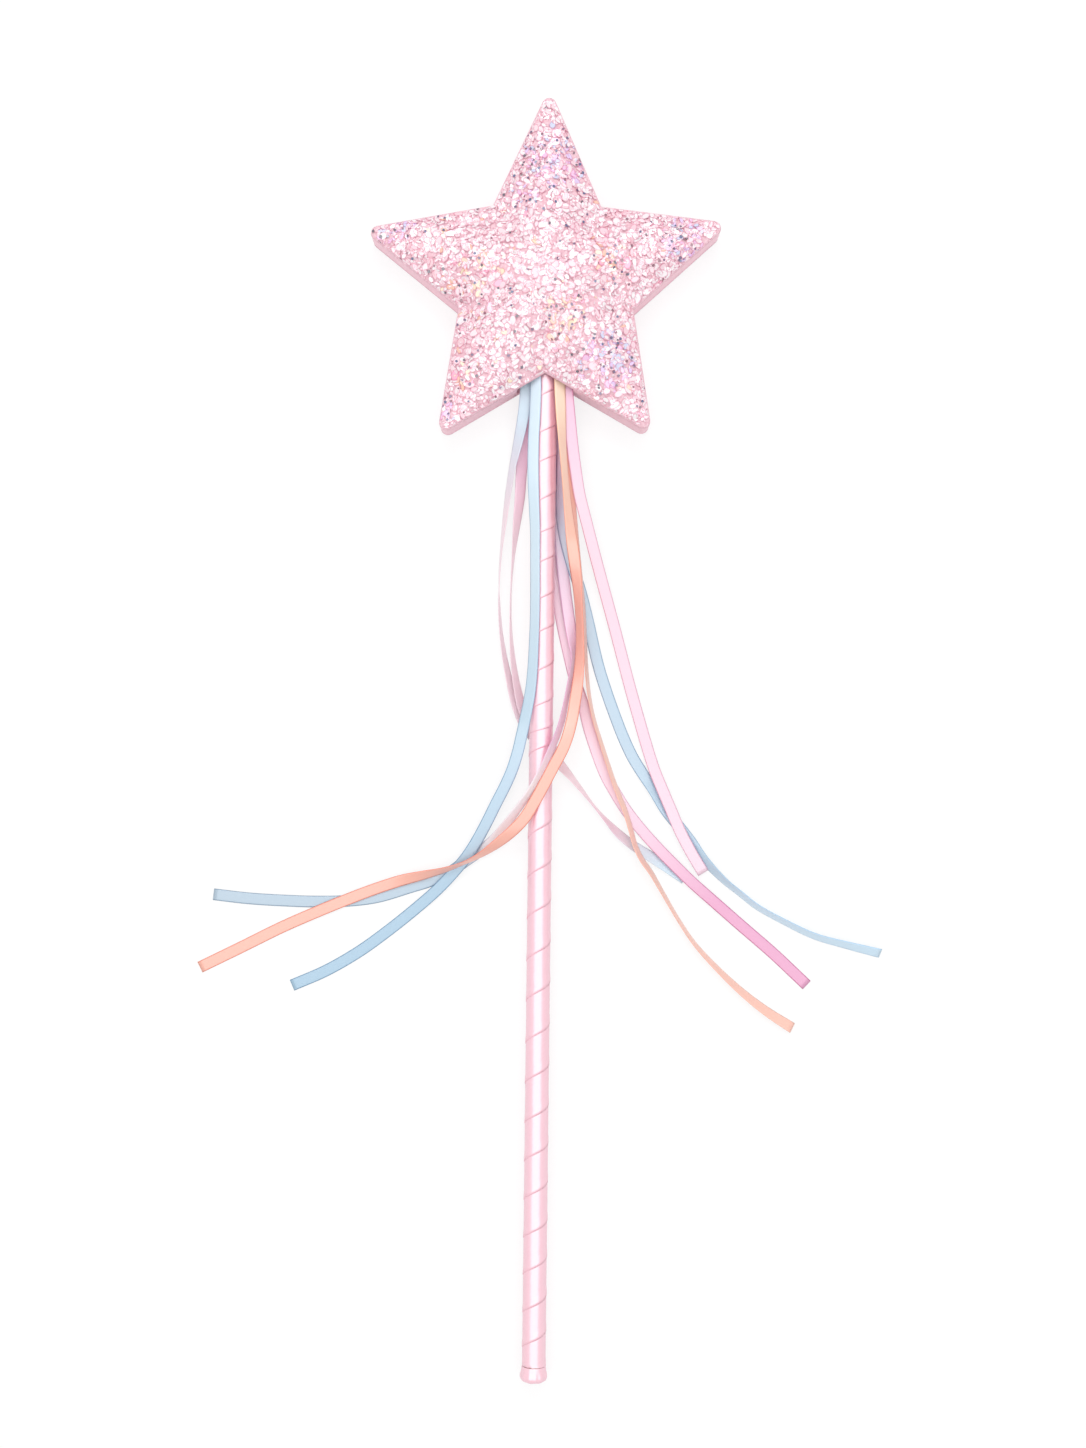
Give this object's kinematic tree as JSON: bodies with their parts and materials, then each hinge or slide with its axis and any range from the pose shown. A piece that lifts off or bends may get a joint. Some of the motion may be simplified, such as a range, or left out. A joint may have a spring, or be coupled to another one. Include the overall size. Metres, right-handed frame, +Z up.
{
  "type": "toy magic wand",
  "caption": "Toy fairy wand with a padded pink glitter star on a satin-wrapped stick and loose blue, pink and coral ribbon streamers, lying on its back.",
  "frame": {"origin": "the floor under the middle of the wand's length, on the stick's centre line", "axes": "+Y runs along the stick from its folded end to the star, +Z points up out of the star's glitter face, +X is to the right when looking down on that face with the star at the top"},
  "size_m": [0.1888, 0.35, 0.0188],
  "materials": {
    "glitter_fabric": "glitter, coarse iridescent flakes on pale pink",
    "edge_fabric": "plain woven",
    "back_felt": "felt",
    "soft_filling": "loose polyester filling",
    "stiff_foam": "closed-cell foam sheet",
    "plain_wood": "bare birch",
    "wrap_satin": "satin",
    "hot_glue": "cloudy",
    "blue_satin": "satin",
    "pale_pink_satin": "satin",
    "pink_satin": "satin",
    "coral_satin": "satin"
  },
  "bodies": {
    "root": {"star_back_cover": "back_felt", "star_core": "stiff_foam", "star_edge_band": "edge_fabric", "star_padding": "soft_filling", "star_front_cover": "glitter_fabric", "stick_dowel": "plain_wood", "stick_wrap": "wrap_satin", "stick_end_fold": "wrap_satin", "glue_plug": "hot_glue", "ribbon_blue_left": "blue_satin", "ribbon_pink_left": "pale_pink_satin", "ribbon_blue_front": "blue_satin", "ribbon_coral_front": "coral_satin", "ribbon_coral_thin": "coral_satin", "ribbon_pink_right": "pale_pink_satin", "ribbon_blue_right": "blue_satin", "ribbon_pink_under": "pink_satin", "ribbon_blue_over": "blue_satin"}
  },
  "joints": []
}
